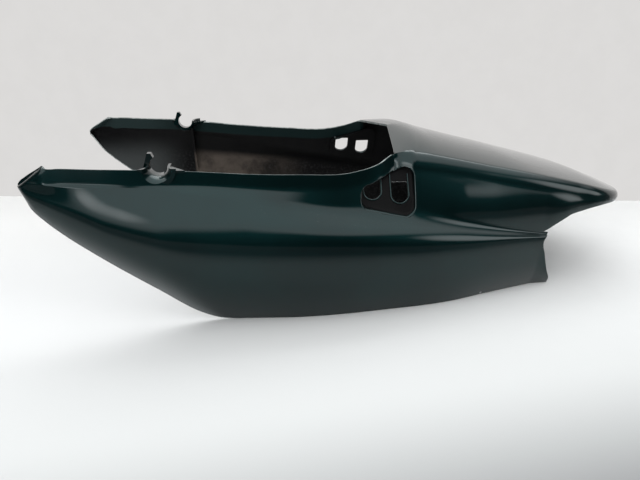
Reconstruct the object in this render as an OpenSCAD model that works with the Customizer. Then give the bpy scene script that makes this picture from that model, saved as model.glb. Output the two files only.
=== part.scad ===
// Motorcycle tail fairing, one hollow moulding with two side wings, a seat flange,
// a raised tail hump, strap pockets with slots, tube saddles and an open underside.
// Stations are distances behind the nose. Heights are above the surface it stands on.

/* [Overall] */
// Length from the nose of the wings to the tail edge
length = 790; // [780:1:810]
// Wall thickness of the moulding
wall = 3; // [2:0.5:4]

/* [Seat flange] */
// Height of the upright flange around the seat opening
flange_h = 16.5; // [12:0.5:20]
// How far the foot of the flange stands outside its top
flange_lean = 3; // [1:0.5:6]
// Length of the slanted front end of the flange
flange_ramp = 30; // [24:0.5:40]
// Half width of the seat opening at its front
seat_front_half_w = 171.5; // [160:0.5:178]
// Half width of the seat opening at mid length
seat_mid_half_w = 157.5; // [150:0.5:164]
// Half width of the seat opening at its lowest point
seat_dip_half_w = 147.5; // [142:0.5:152]
// Half width of the seat opening at its rear corners
seat_corner_half_w = 124; // [118:0.5:130]
// Height of the flange top near the front
seat_front_z = 197.5; // [194:0.5:202]
// Height of the flange top at mid length
seat_mid_z = 178.5; // [172:0.5:184]
// Height of the flange top at its lowest point
seat_dip_z = 177.5; // [172:0.5:182]
// Height of the flange top at the rear corners
seat_corner_z = 193.5; // [188:0.5:198]
// Station of the rear corners of the seat opening
corner_at = 434.5; // [428:0.5:440]
// How far the middle of the rear rim lies behind the corners
rim_peak_back = 16.5; // [8:0.5:22]
// Height of the middle of the rear rim
rim_peak_z = 207.5; // [202:0.5:212]

/* [Hump and tail deck] */
// How far the ridge lies behind the rear corners, at the sides
ridge_back = 23.5; // [18:0.5:30]
// How much further back the ridge lies in the middle
ridge_bow = 19; // [10:0.5:26]
// Height of the ridge in the middle
ridge_z = 206.6; // [202:0.2:212]
// Half width between the deck creases behind the ridge
deck_half_w = 131; // [125:0.5:137]
// Height of the deck creases behind the ridge
deck_crease_z = 190; // [186:0.5:194]
// Half width of the deck where the skirt ends
deck_knee_half_w = 112; // [107:0.5:117]
// Height of the deck creases where the skirt ends
deck_knee_z = 151.5; // [147:0.5:156]
// Rise of the deck middle over its creases where the skirt ends
deck_crown = 5; // [3:0.5:9]
// Half width where the tail starts to close
tail_half_w = 105; // [99:0.5:108]
// Height of the deck creases where the tail starts to close
tail_z = 138; // [134:0.5:142]
// Height of the tail edge
tail_edge_z = 113; // [109:0.5:117]
// Depth of the lip around the tail edge
tail_lip = 6; // [5:0.5:9]
// Exponent of the rounded tail in plan, 2 is an ellipse and more is blunter
tail_blunt = 2.3; // [2:0.1:3.5]

/* [Side panels] */
// Half width over the nose
nose_half_w = 166; // [160:0.5:172]
// Radius in plan that rounds the nose and the front end of the flange
nose_round = 7; // [4:0.5:8]
// Height of the shoulder at the nose
nose_z = 176; // [172:0.5:180]
// Half width over the shoulders at their widest
shoulder_half_w = 200; // [192:0.5:208]
// Height of the shoulders at their widest
shoulder_z = 127; // [120:0.5:134]
// Half width over the shoulders beside the seat corners
hip_half_w = 181; // [172:0.5:186]
// Height of the shoulders beside the seat corners
hip_z = 106; // [100:0.5:111]
// Half width over the shoulders where the skirt ends
knee_half_w = 124; // [120:0.5:130]
// Height of the shoulders where the skirt ends
knee_z = 76.5; // [72:0.5:82]
// Radius that rounds the shoulders at the front
shoulder_round = 16; // [8:0.5:20]
// Radius that rounds the shoulders where the skirt ends
knee_round = 5; // [3:0.5:8]

/* [Lower edge] */
// Station where the raked front of the lower edge reaches the ground
toe_at = 236; // [226:1:246]
// Half width over the lower edge at its toe
toe_half_w = 168; // [162:0.5:174]
// Half width over the lower edge at its widest
hem_half_w = 173; // [167:0.5:178]
// Half width over the lower edge at its rear end
hem_rear_half_w = 99; // [94:0.5:104]
// Station of the rear end of the lower edge
skirt_end_at = 666; // [660:1:672]
// Station of the skirt end where it is cut in most
skirt_waist_at = 645; // [641:1:649]

/* [Pocket] */
// Station of the front edge of the pocket
pocket_at = 390; // [386:0.5:394]
// Length of the pocket
pocket_l = 67; // [60:0.5:70]
// Height of the lower edge of the pocket over the valley line
pocket_rise = 1.5; // [0.5:0.5:4]
// Height of the pocket at its front edge
pocket_front_h = 28; // [25:0.5:31]
// Height of the pocket at its rear edge
pocket_rear_h = 55; // [50:0.5:60]
// Least depth of the pocket under the skin
pocket_depth = 3.5; // [3:0.5:5]
// Corner radius of the pocket
pocket_round = 11; // [7:0.5:13]
// Half width between the slotted walls at the foot of the pockets
pocket_wall_half_w = 149; // [146:0.5:152]
// Lean of the slotted walls from upright, in degrees
pocket_wall_lean = 30; // [26:0.5:33]

/* [Slots] */
// Width of a strap slot
slot_w = 20; // [16:0.5:22]
// Distance between the two strap slots
slot_pitch = 34; // [31:0.5:36]
// Station of the front slot
slot_at = 405.5; // [404:0.5:408]
// Height of the lower end of the front slot over the pocket edge
slot_rise = 11; // [9:0.5:16]
// Height of a strap slot
slot_h = 27; // [24:0.5:28]
// Width of the bead around a slot
bead_w = 2.5; // [2:0.5:4]
// Height of the bead over the slotted wall
bead_h = 1.2; // [0.8:0.1:2]
// How far the arms of the bead run on over the slot
bead_arm = 10; // [8:0.5:14]

/* [Tube saddle] */
// Station of the saddle axis
saddle_at = 154; // [146:0.5:162]
// Radius of the tube that the saddle takes
saddle_r = 10.5; // [8:0.5:12]
// Height of the saddle axis over the flange foot
saddle_rise = 18.5; // [16:0.5:22]
// Half width between the inner ends of the saddles
saddle_half_gap = 145; // [140:0.5:150]
// Length of the straight half round part
saddle_l = 12; // [8:0.5:15]
// Radius of the flared mouth at the flange
saddle_mouth_r = 18.5; // [15:0.5:19]
// Height of the prong over the saddle axis
prong_h = 14; // [10:0.5:18]
// Width of the prong
prong_w = 9; // [7:0.5:12]

/* [Hidden] */

flange_dip_at = 381;
flange_mid_at = 300;
flange_turn_at = 415;
widest_at = 255;
knee_at = 645;
tail_turn_at = 701;
ridge_at = corner_at + ridge_back;

// Columns counted from the middle of the deck to the lower edge
DECK = 5;
FOLD = 4;
FLANK = 3;
VALE = 2;
SHELF = 2;
ROUND = 3;
SIDE = 5;
C_TOP = DECK;
C_FOOT = C_TOP + FOLD;
C_VALE = C_FOOT + FLANK;
C_SHELF = C_VALE + VALE;
C_ROUND = C_SHELF + SHELF;
C_SIDE = C_ROUND + ROUND;
C_HEM = C_SIDE + SIDE;

// Stations of the rows, close together at the nose, round the sharp corners and at the tail
function spread(a, b, n) = [for (i = [0:n - 1]) a + (b - a) * i / n];
FRONT_ROWS = concat(
    [for (k = [0:5]) flange_ramp * pow(k / 6, 1.5)],
    [flange_ramp, flange_ramp + 4],
    spread(flange_ramp + 12, flange_dip_at, 14),
    spread(flange_dip_at, corner_at, 5)
);
MIDDLE_ROWS = concat(
    spread(corner_at, ridge_at, 2),
    spread(ridge_at, knee_at, 8)
);
tail_flat_at = length - 2;
TAIL_ROWS = concat(
    spread(knee_at, tail_turn_at, 5),
    [for (k = [0:5]) tail_turn_at + (tail_flat_at - tail_turn_at) * sin(15 * k + 15)]
);
ROWS = concat(FRONT_ROWS, MIDDLE_ROWS, TAIL_ROWS);
R_RIM = len(FRONT_ROWS);
R_KNEE = R_RIM + len(MIDDLE_ROWS);
R_END = len(ROWS) - 1;

// Smooth curve through pairs of a station and a value
function chord(p, i) = (p[i][1] - p[i - 1][1]) / (p[i][0] - p[i - 1][0]);
function tangent(p, i) =
    i == 0 ? chord(p, 1) :
    i == len(p) - 1 ? chord(p, i) :
    let (before = p[i][0] - p[i - 1][0], after = p[i + 1][0] - p[i][0])
    (after * chord(p, i) + before * chord(p, i + 1)) / (before + after);
function span(p, s, i = 0) = (i >= len(p) - 2 || s <= p[i + 1][0]) ? i : span(p, s, i + 1);
function curve(p, s) =
    let (i = span(p, s), h = p[i + 1][0] - p[i][0], t = (s - p[i][0]) / h)
    p[i][1] * (1 + 2 * t) * pow(1 - t, 2) + tangent(p, i) * h * t * pow(1 - t, 2)
    + p[i + 1][1] * t * t * (3 - 2 * t) - tangent(p, i + 1) * h * t * t * (1 - t);
function mix(a, b, t) = a + (b - a) * t;
function bend(a, b, c, t) = a * pow(1 - t, 2) + b * 2 * t * (1 - t) + c * t * t;
function unit(v) = v / norm(v);

// Design lines along the fairing, each a half width or a height at a station
TOP_Y = [
    [0, nose_half_w + 1], [flange_ramp, seat_front_half_w + 0.5], [77, seat_front_half_w + 1],
    [131, seat_front_half_w], [190, mix(seat_front_half_w, seat_mid_half_w, 0.4)],
    [flange_mid_at, seat_mid_half_w], [flange_dip_at, seat_dip_half_w],
    [flange_turn_at, mix(seat_dip_half_w, seat_corner_half_w, 0.42)],
    [corner_at, seat_corner_half_w], [ridge_at, deck_half_w - 10],
];
TOP_Z = [
    [0, nose_z + 2], [2.4, nose_z + 5], [9, nose_z + 10], [flange_ramp - 3, seat_front_z - 0.5],
    [flange_ramp, seat_front_z + 1.5], [flange_ramp + 4, seat_front_z - 0.2],
    [50, seat_front_z - 0.7],
    [77, mix(seat_front_z, seat_mid_z, 0.12)], [131, mix(seat_front_z, seat_mid_z, 0.25)],
    [190, mix(seat_front_z, seat_mid_z, 0.49)], [260, mix(seat_front_z, seat_mid_z, 0.83)],
    [flange_mid_at + 15, seat_mid_z], [flange_dip_at, seat_dip_z],
    [flange_turn_at, mix(seat_dip_z, seat_corner_z, 0.48)],
    [corner_at, seat_corner_z], [ridge_at, deck_crease_z + 5.5],
];
VALE_Y = [
    [0, nose_half_w + 1.6], [flange_ramp, seat_front_half_w + 4], [130, seat_front_half_w + 4],
    [255, 173], [387, 161], [504, 147], [577, 133], [knee_at, knee_half_w - 6.5],
];
VALE_Z = [
    [0, nose_z + 1], [flange_ramp / 2, nose_z + 4], [flange_ramp, seat_front_z - flange_h - 1.5],
    [77, mix(seat_front_z, seat_mid_z, 0.12) - flange_h - 2.5], [120, 173.5], [200, 163.5],
    [268, 151], [350, 136.5], [440, 124.5], [504, 110.5], [577, 92.5], [knee_at, knee_z + 1.5],
];
SHOULDER_Y = [
    [0, nose_half_w + 2.5], [60, 184], [115, 193], [widest_at, shoulder_half_w],
    [345, 197], [460, hip_half_w - 3], [540, 157], [knee_at, knee_half_w],
];
SHOULDER_Z = [
    [0, nose_z], [62, 162], [112, 147], [177, 134], [widest_at, shoulder_z],
    [346, 118.5], [440, hip_z], [541, 92], [knee_at, knee_z],
];
HEM_Y = [
    [0, nose_half_w + 1], [56, 171.5], [toe_at, toe_half_w], [320, hem_half_w],
    [424, 164], [514, 149], [565, 131.5], [skirt_end_at, hem_rear_half_w],
];
HEM_Z = [
    [0, nose_z - 4], [5, 163.5], [13, 149.5], [27, 134], [44, 119], [75, 95],
    [toe_at - 94, 46], [toe_at - 44, 11], [toe_at - 22, 2.5], [toe_at, 0], [toe_at + 60, 0],
];
CREASE_Y = [
    [ridge_at, deck_half_w], [507, 124.5], [568, 118.5], [knee_at, deck_knee_half_w],
    [tail_turn_at, tail_half_w],
];
CREASE_Z = [
    [ridge_at, deck_crease_z], [507, 180.5], [568, 167.5], [knee_at, deck_knee_z],
    [tail_turn_at, tail_z], [745, 126], [length, tail_edge_z],
];
MIDDLE_Z = [
    [corner_at + rim_peak_back, rim_peak_z], [464, 208], [ridge_at + ridge_bow, ridge_z],
    [510, 197], [560, 183.5], [610, 170.5], [knee_at, deck_knee_z + deck_crown * 1.8],
    [tail_turn_at, tail_z + deck_crown * 1.4], [745, 132], [length, tail_edge_z + 1],
];
UNDER_Z = [
    [knee_at, knee_z + 1.5], [664, 85.5], [686, 93], [718, 103.5], [739, 107.5], [756, 108.5],
    [773, 110], [length, tail_edge_z - tail_lip],
];
BOW = [[corner_at, rim_peak_back], [ridge_at, ridge_bow], [500, 10], [560, 0], [length, 0]];
SKIRT_END = [[0, skirt_end_at], [8, 665], [24, 657], [51, 648], [69, skirt_waist_at], [80, 652]];

// The tail closes in plan along a blunt quarter of an ellipse
function closing(s) =
    pow(1 - pow(max(0, s - tail_turn_at) / (length - tail_turn_at), tail_blunt), 1 / tail_blunt);
function crease_y(s) = curve(CREASE_Y, min(s, tail_turn_at)) * closing(s);
function under_z(s) = min(curve(UNDER_Z, s), curve(CREASE_Z, s) - tail_lip);
function flange_now(s) = flange_h * min(1, 0.03 + 0.97 * pow(s / flange_ramp, 1.5));

// The nose and the front end of the flange curl inwards, by a quarter circle in plan
function front_at(z) =
    z > nose_z ? (z - nose_z) * flange_ramp / (seat_front_z - nose_z) : (nose_z - z) / 2;
function curl(s, z) =
    let (
        u = max(0, nose_round - max(0, s - front_at(z))),
        fade = min(1, max(0, 1 + (z - nose_z) / 24))
    )
    fade * (nose_round - sqrt(nose_round * nose_round - u * u));

// Corner points of the section at a station, as half width and height
function p_top(s) =
    s <= ridge_at ? [curve(TOP_Y, s), curve(TOP_Z, s)] :
    let (y = crease_y(s), z = curve(CREASE_Z, s), m = curve(MIDDLE_Z, s))
    [y * 0.92, z + (m - z) * 0.2 + 1];
function p_fold(s) =
    let (t = min(1, max(0, (s - corner_at) / ridge_back)))
    mix((p_top(s) + p_foot(s)) / 2, [crease_y(max(s, ridge_at)), curve(CREASE_Z, max(s, ridge_at))], t);
function p_foot(s) =
    s <= corner_at ? p_top(s) + [flange_lean / flange_h, -1] * flange_now(s) :
    let (
        t = min(1, (s - corner_at) / ridge_back),
        front = [curve(TOP_Y, min(s, ridge_at)) + flange_lean + 2, curve(TOP_Z, min(s, ridge_at)) - flange_h],
        drop = min(15, (curve(CREASE_Z, max(s, ridge_at)) - p_low(max(s, ridge_at))[1]) * 0.4),
        rear = [crease_y(max(s, ridge_at)) + drop * 0.2, curve(CREASE_Z, max(s, ridge_at)) - drop]
    )
    mix(front, rear, t);
function p_low(s) =
    s <= knee_at ? [curve(VALE_Y, s), curve(VALE_Z, s)] :
    [mix(curve(VALE_Y, knee_at), crease_y(s), min(1, (s - knee_at) / 60)), under_z(s)];
function p_shoulder(s) = [curve(SHOULDER_Y, s), curve(SHOULDER_Z, s)];
function p_hem(s) = [curve(HEM_Y, s), s > toe_at + 6 ? 0 : max(0, curve(HEM_Z, s))];
function round_now(s) = mix(shoulder_round, knee_round, max(0, s - widest_at) / (knee_at - widest_at));

// Half width and height of a column of the section at a station
function flank(s, t) =
    let (a = p_foot(s), b = p_low(s), bulge = 5 * min(1, max(0, s - corner_at) / 90))
    mix(a, b, t) + [bulge * 4 * t * (1 - t) * min(1, (a[1] - b[1]) / 40), 0];
function vale(s, t) =
    let (
        low = p_low(s), foot = p_foot(s), out = p_shoulder(s),
        r = min(5, norm(foot - low) * 0.3, norm(out - low) * 0.3)
    )
    bend(low + unit(foot - low) * r, low, low + unit(out - low) * r, t);
function side_swell(s) = mix(p_shoulder(s), p_hem(s), 0.45) + [9, 0] * min(1, p_shoulder(s)[1] / 90);
function brow(s, t) =
    let (
        c = p_shoulder(s), low = p_low(s), swell = side_swell(s),
        r = min(round_now(s), norm(c - low) * 0.45, norm(swell - c) * 0.45)
    )
    bend(c + unit(low - c) * r, c, c + unit(swell - c) * r, t);
function section(s, c) =
    c <= C_FOOT ? bend(p_top(s), p_fold(s), p_foot(s), (c - C_TOP) / FOLD) :
    c < C_VALE ? flank(s, (c - C_FOOT) / FLANK) :
    c <= C_SHELF ? vale(s, (c - C_VALE) / VALE) :
    c <= C_ROUND ? mix(vale(s, 1), brow(s, 0), (c - C_SHELF) / SHELF) :
    c <= C_SIDE ? brow(s, (c - C_ROUND) / ROUND) :
    bend(brow(s, 1), side_swell(s), p_hem(s), (c - C_SIDE) / SIDE);

// Point of the outer skin at a row and a column, mirrored where the column is negative
function deck(row, f) =
    let (
        s = ROWS[row], top = p_top(s), back = (length - tail_flat_at) * pow(max(0, s - tail_turn_at)
            / (tail_flat_at - tail_turn_at), 3),
        mid_s = s + curve(BOW, s) + back, mid_z = curve(MIDDLE_Z, mid_s),
        e = row == R_RIM ? 1 : row == R_RIM + 1 ? 1.5 : 2.2,
        g = pow(f, e)
    )
    [mix(mid_s, s, g), top[0] * f, mix(mid_z, top[1], g)];
function rim_s(row, p, c) =
    row == R_KNEE && c > C_VALE ? curve(SKIRT_END, p[1]) : ROWS[row];
function skin(row, c) =
    let (k = abs(c), w = c < 0 ? -1 : 1)
    k < C_TOP ? let (d = deck(row, k / DECK)) [d[0], w * d[1], d[2]] :
    let (s = ROWS[row], p = section(s, k))
    [rim_s(row, p, k), w * (p[0] - (s > flange_ramp + nose_round ? 0 : curl(s, p[1]))), p[1]];

// Where the skin exists: the seat opening is in front of the rim and the tail has no skirt
function here(row, c) =
    row >= 0 && row <= R_END && abs(c) <= C_HEM
    && (row >= R_RIM || abs(c) >= C_TOP)
    && (row <= R_KNEE || abs(c) <= C_VALE);
function cell(row, c) =
    here(row, c) && here(row + 1, c) && here(row, c + 1) && here(row + 1, c + 1);

GRID = [for (row = [0:R_END]) [for (c = [-C_HEM:C_HEM]) here(row, c) ? skin(row, c) : [0, 0, 0]]];
function at(row, c) = GRID[row][c + C_HEM];
function normal(row, c) =
    let (
        fore = here(row - 1, c) ? row - 1 : row,
        aft = here(row + 1, c) ? row + 1 : row,
        left = here(row, c - 1) ? c - 1 : c,
        right = here(row, c + 1) ? c + 1 : c
    )
    unit(cross(at(aft, c) - at(fore, c), at(row, right) - at(row, left)));
function inner(row, c) = at(row, c) - wall * normal(row, c);
INNER = [for (row = [0:R_END]) [for (c = [-C_HEM:C_HEM]) here(row, c) ? inner(row, c) : [0, 0, 0]]];

WIDE = 2 * C_HEM + 1;
COUNT = WIDE * (R_END + 1);
function id(row, c, inside = 0) = row * WIDE + c + C_HEM + inside * COUNT;
function quad(a, b, c, d, flip) = flip ? [[a, b, d], [b, c, d]] : [[a, b, c], [a, c, d]];

module shell() {
    cells = [for (row = [0:R_END - 1], c = [-C_HEM:C_HEM - 1]) if (cell(row, c)) [row, c]];
    outside = [
        for (q = cells) let (r = q[0], c = q[1])
            each quad(id(r, c), id(r, c + 1), id(r + 1, c + 1), id(r + 1, c), c < 0)
    ];
    inside = [
        for (q = cells) let (r = q[0], c = q[1])
            each quad(id(r, c, 1), id(r + 1, c, 1), id(r + 1, c + 1, 1), id(r, c + 1, 1), c >= 0)
    ];
    edges = [
        for (q = cells) let (r = q[0], c = q[1]) each concat(
            cell(r - 1, c) ? [] : quad(id(r, c), id(r, c, 1), id(r, c + 1, 1), id(r, c + 1), false),
            cell(r + 1, c) ? [] :
                quad(id(r + 1, c + 1), id(r + 1, c + 1, 1), id(r + 1, c, 1), id(r + 1, c), false),
            cell(r, c - 1) ? [] : quad(id(r + 1, c), id(r + 1, c, 1), id(r, c, 1), id(r, c), false),
            cell(r, c + 1) ? [] :
                quad(id(r, c + 1), id(r, c + 1, 1), id(r + 1, c + 1, 1), id(r + 1, c + 1), false)
        )
    ];
    points = concat([for (row = GRID) each row], [for (row = INNER) each row]);
    polyhedron(points = points, faces = concat(outside, inside, edges), convexity = 8);
}

// Outer half width of the skin around the pocket, by station and height
function skin_y(s, z) =
    let (foot = p_foot(s), low = p_low(s), out = p_shoulder(s))
    z >= low[1] ? flank(s, min(1, max(0, (foot[1] - z) / (foot[1] - low[1]))))[0] :
    mix(low[0], out[0], (low[1] - z) / (low[1] - out[1]));

// Outline of the pocket seen from the side, grown all round
pocket_end = pocket_at + pocket_l;
pocket_foot_z = curve(VALE_Z, pocket_at) + pocket_rise;
function pocket_low(s) = curve(VALE_Z, s) + pocket_rise;
function corner(p, a, r, n = 4) = [for (k = [0:n]) p + r * [cos(a + 90 * k / n), sin(a + 90 * k / n)]];
function pocket_outline(grow) =
    let (r = pocket_round, f = pocket_at + r, b = pocket_end - r)
    concat(
        corner([b, pocket_low(pocket_end) + pocket_rear_h - r], 0, r + grow),
        corner([f, pocket_foot_z + pocket_front_h - r], 90, r + grow),
        corner([f, pocket_foot_z + r], 180, r + grow),
        corner([b, pocket_low(pocket_end) + r], 270, r + grow)
    );
function pocket_wall_y(s, z) =
    min(pocket_wall_half_w - (z - pocket_foot_z) * tan(pocket_wall_lean), skin_y(s, z) - pocket_depth);

// Block between two surfaces over an outline, each sampled on nested copies of it
NESTS = [1, 2 / 3, 1 / 3];
module block(ring, hub, front_y, back_y) {
    n = len(ring);
    m = n * len(NESTS);
    nest = [for (f = NESTS) for (p = ring) hub + f * (p - hub)];
    points = concat(
        [for (p = nest) [p[0], front_y(p), p[1]]],
        [for (p = nest) [p[0], back_y(p), p[1]]],
        [[hub[0], front_y(hub), hub[1]], [hub[0], back_y(hub), hub[1]]]
    );
    faces = [
        for (i = [0:n - 1]) let (j = (i + 1) % n, a = m - n + i, b = m - n + j) each [
            [j, i, m + i], [j, m + i, m + j], [a, b, 2 * m], [m + b, m + a, 2 * m + 1],
            for (r = [0:n:m - 2 * n]) let (a = r + i, b = r + j) each [
                [a, b, b + n], [a, b + n, a + n],
                [m + b + n, m + b, m + a], [m + a + n, m + b + n, m + a]
            ]
        ]
    ];
    polyhedron(points = points, faces = faces);
}
POCKET_HUB = [pocket_at + pocket_l / 2, pocket_foot_z + pocket_front_h / 2];
module pocket_plug() {
    block(
        pocket_outline(wall), POCKET_HUB,
        function(p) skin_y(p[0], p[1]) - wall / 2, function(p) pocket_wall_y(p[0], p[1]) - wall
    );
}

// Frame on the slotted wall, with y pointing out of it and z running up it
module on_wall() {
    translate([0, pocket_wall_half_w, pocket_foot_z]) rotate([pocket_wall_lean, 0, 0]) children();
}
module pocket_prism() {
    translate([0, shoulder_half_w, 0]) rotate([90, 0, 0])
        linear_extrude(shoulder_half_w / 2) polygon(pocket_outline(0));
}
module pocket_hollow() {
    intersection() {
        pocket_prism();
        on_wall() translate([0, 0, -length / 2]) cube(length);
    }
    block(
        pocket_outline(0), POCKET_HUB,
        function(p) skin_y(p[0], p[1]) + 10, function(p) skin_y(p[0], p[1]) - pocket_depth
    );
}

// Strap slots, round at the foot and square at the top
module slot_shape(grow) {
    translate([0, slot_w / 2]) circle(r = slot_w / 2 + grow, $fn = 48);
    translate([-slot_w / 2 - grow, slot_w / 2]) square([slot_w + 2 * grow, slot_h - slot_w / 2 + grow]);
}
module at_slots() {
    for (k = [0:1]) let (s = slot_at + k * slot_pitch)
        on_wall()
        translate([s, 0, (pocket_low(s) + slot_rise - pocket_foot_z) / cos(pocket_wall_lean)])
        rotate([90, 0, 0])
        children();
}
module slot_cuts() {
    at_slots() translate([0, 0, -2 * bead_h]) linear_extrude(pocket_l / 2) slot_shape(0);
}
module slot_beads() {
    intersection() {
        pocket_prism();
        at_slots() translate([0, 0, -bead_h]) linear_extrude(bead_h + wall / 2) difference() {
            union() {
                slot_shape(bead_w);
                translate([-slot_w / 2 - bead_w, slot_h]) square([slot_w + 2 * bead_w, bead_arm]);
            }
            slot_shape(0);
            translate([-slot_w / 2, slot_h / 2]) square([slot_w, slot_h + bead_arm]);
        }
    }
}

// Tube saddle, a half round collar that opens out to a flared mouth in the flange
saddle_z = curve(TOP_Z, saddle_at) - flange_h + saddle_rise;
saddle_out = curve(TOP_Y, saddle_at) + flange_lean + 2;
saddle_in = saddle_half_gap + saddle_l;
module along_tube(y) {
    translate([saddle_at, y, saddle_z]) rotate([-90, 0, 0]) children();
}
module saddle_body() {
    difference() {
        union() {
            along_tube(saddle_half_gap) cylinder(r = saddle_r + wall, h = saddle_l + 1, $fn = 64);
            along_tube(saddle_in) cylinder(
                r1 = saddle_r + wall, r2 = saddle_mouth_r + wall, h = saddle_out - saddle_in - 3, $fn = 64
            );
        }
        translate([saddle_at - length / 2, 0, saddle_z]) cube(length);
    }
    prong();
    gussets();
}
module prong() {
    r = saddle_r;
    translate([saddle_at, saddle_half_gap + prong_w, saddle_z])
    rotate([90, 0, 0])
    linear_extrude(prong_w)
    polygon([
        [-r - 8, -6], [-r - 1.5, prong_h], [-r + 2.5, prong_h], [-r + 6, prong_h - 7],
        [-r + 2, prong_h - 8], [-r + 0.5, 0], [-r + 1, -6]
    ]);
}
module gussets() {
    flange_y = saddle_out - flange_lean - 2 - wall / 2;
    translate([0, 0, curve(TOP_Z, saddle_at) - wall - 1])
    linear_extrude(wall) {
        polygon([
            [saddle_at + saddle_r + 1, saddle_half_gap], [saddle_at + saddle_r + 20, flange_y],
            [saddle_at + saddle_r + 1, flange_y]
        ]);
        polygon([
            [saddle_at - saddle_r - 1, saddle_half_gap + prong_w], [saddle_at - saddle_r - 1, flange_y],
            [saddle_at - saddle_r - 12, flange_y]
        ]);
    }
}
module saddle_rib() {
    top = [saddle_half_gap + 2, saddle_z - saddle_r - 1];
    skin_line = [for (c = [C_FOOT:C_SIDE + 3]) section(saddle_at, c) - [wall / 2, 0]];
    translate([saddle_at + saddle_r - wall, 0, 0])
    rotate([90, 0, 90])
    linear_extrude(wall)
    polygon(concat([top], skin_line));
}
module saddle_bore() {
    along_tube(saddle_half_gap - 5) cylinder(r = saddle_r, h = saddle_l + 5, $fn = 64);
    along_tube(saddle_in) cylinder(r1 = saddle_r, r2 = saddle_mouth_r, h = saddle_out - saddle_in, $fn = 64);
    along_tube(saddle_out) cylinder(r = saddle_mouth_r, h = 20, $fn = 64);
}

module both_sides() {
    children();
    mirror([0, 1, 0]) children();
}

module tail_fairing() {
    color([0.02, 0.16, 0.13])
    translate([-length / 2, 0, 0])
    difference() {
        union() {
            difference() {
                union() {
                    shell();
                    both_sides() pocket_plug();
                }
                both_sides() {
                    pocket_hollow();
                    slot_cuts();
                }
            }
            both_sides() {
                slot_beads();
                saddle_body();
                saddle_rib();
            }
        }
        both_sides() saddle_bore();
    }
}

tail_fairing();
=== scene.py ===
# %% [markdown]
# # A motorcycle tail fairing
# The object is one hollow plastic moulding: two side wings run forward round a seat
# opening, a hump rises behind the seat, and a flat deck tapers to the tail. The CAD model
# gives its place and size. This lesson replaces its facets with a smooth painted skin that
# follows the same design lines, then dresses it, lights it and puts it before a pale wall.

# %% Load the CAD model
import math
import bpy
import bmesh
import numpy as np
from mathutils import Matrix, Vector


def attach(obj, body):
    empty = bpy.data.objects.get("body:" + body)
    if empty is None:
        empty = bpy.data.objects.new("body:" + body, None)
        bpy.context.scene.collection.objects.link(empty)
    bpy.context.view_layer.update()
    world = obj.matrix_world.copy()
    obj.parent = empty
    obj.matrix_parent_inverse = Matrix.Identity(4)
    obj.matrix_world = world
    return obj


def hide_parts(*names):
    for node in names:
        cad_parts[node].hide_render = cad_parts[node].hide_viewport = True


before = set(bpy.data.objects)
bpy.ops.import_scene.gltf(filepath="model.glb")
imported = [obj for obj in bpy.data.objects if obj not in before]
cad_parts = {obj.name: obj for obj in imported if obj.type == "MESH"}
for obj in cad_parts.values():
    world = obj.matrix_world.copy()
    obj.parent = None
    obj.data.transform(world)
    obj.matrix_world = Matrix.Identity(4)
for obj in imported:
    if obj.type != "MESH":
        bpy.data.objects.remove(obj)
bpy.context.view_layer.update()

# %% [markdown]
# ## The camera
# The camera is made first, because every later choice is judged through it. It stands at
# the height of a person bending over a table, close to the near side panel, and looks
# down and a little to the right. The pitch, the turn and the lens were solved from the
# object's symmetry and from the line where the floor meets the wall.

# %% Camera
LENGTH, WALL = 790.0, 3.0
CAMERA_AT = (-0.1295, -0.83885, 0.3567)
CAMERA_PITCH, CAMERA_TURN = 20.81, 6.136
SENSOR_MM, LENS_MM = 36, 33.75

camera = bpy.data.objects.new("camera", bpy.data.cameras.new("camera"))
bpy.context.collection.objects.link(camera)
camera.location = CAMERA_AT
camera.rotation_euler = (math.radians(90 - CAMERA_PITCH), 0, math.radians(-CAMERA_TURN))
camera.data.sensor_width, camera.data.lens = SENSOR_MM, LENS_MM
camera.data.clip_start, camera.data.clip_end = 0.01, 20
bpy.context.scene.camera = camera
bpy.context.scene.view_settings.view_transform = "Standard"
print("camera at", CAMERA_AT)

# %% [markdown]
# ## Design lines
# A fairing is drawn with a few long curves: the top of the seat flange, the valley beside
# it, the shoulder of the side panel, the lower edge, and the crease of the tail deck. Each
# is a smooth curve through pairs of a station, which is the distance behind the nose, and
# a value in millimetres. A spline object would do it too, but a plain function can be
# asked for its value at any station, which the sections below need.

# %% A smooth curve through pairs
def line(*pairs):
    """Smooth function through pairs of a station and a value."""
    at, value = np.array(pairs, float).T
    gap = np.diff(at)
    chord = np.diff(value) / gap
    inner = (gap[1:] * chord[:-1] + gap[:-1] * chord[1:]) / (gap[1:] + gap[:-1])
    slope = np.concatenate([chord[:1], inner, chord[-1:]])

    def value_at(s):
        i = int(np.clip(np.searchsorted(at, s) - 1, 0, len(gap) - 1))
        h, t = gap[i], (s - at[i]) / gap[i]
        u = 1 - t
        ends = value[i] * (1 + 2 * t) * u * u + value[i + 1] * t * t * (3 - 2 * t)
        return ends + slope[i] * h * t * u * u - slope[i + 1] * h * t * t * u
    return value_at


def mix(a, b, t):
    return a + (b - a) * t

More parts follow.
